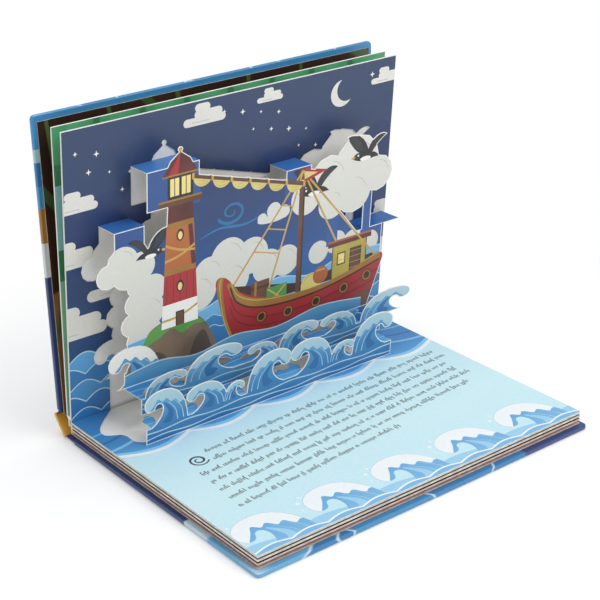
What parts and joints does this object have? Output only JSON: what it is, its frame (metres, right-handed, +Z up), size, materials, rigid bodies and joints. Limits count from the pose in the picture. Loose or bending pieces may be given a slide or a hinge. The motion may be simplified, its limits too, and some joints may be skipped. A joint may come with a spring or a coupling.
{
  "type": "pop-up book",
  "caption": "Hardcover fold-out book standing open at a right angle, with a cut and folded pop-up sheet of boxes, a scene layer and waves between its pages.",
  "frame": {"origin": "centre of the lower board's underside, on the table", "axes": "X along the spine, -Y towards the fore edge of the lower cover, +Z up through the standing half"},
  "size_m": [0.2818, 0.2338, 0.228],
  "materials": {
    "cover_wrap": "satin laminated print",
    "spine_wrap": "satin laminated print",
    "endpaper": "satin print",
    "page_card": "satin coated card",
    "printed_card": "glossy printed card"
  },
  "bodies": {
    "base": {"lower_cover": "cover_wrap", "page_block": "page_card", "pop_up_sheet": "printed_card"},
    "spine": {"spine_board": "spine_wrap"},
    "cover": {"upper_cover": "cover_wrap", "upper_endpaper": "endpaper"}
  },
  "joints": [
    {"name": "spine_hinge", "type": "hinge", "parent": "base", "child": "spine", "pos_m": [0, 0.1164, 0.0015], "axis": [-1, 0, 0], "range_deg": [0, 48.4]},
    {"name": "cover_hinge", "type": "hinge", "parent": "spine", "child": "cover", "pos_m": [0, 0.12702, 0.01346], "axis": [-1, 0, 0], "range_deg": [0, 42.6]}
  ]
}
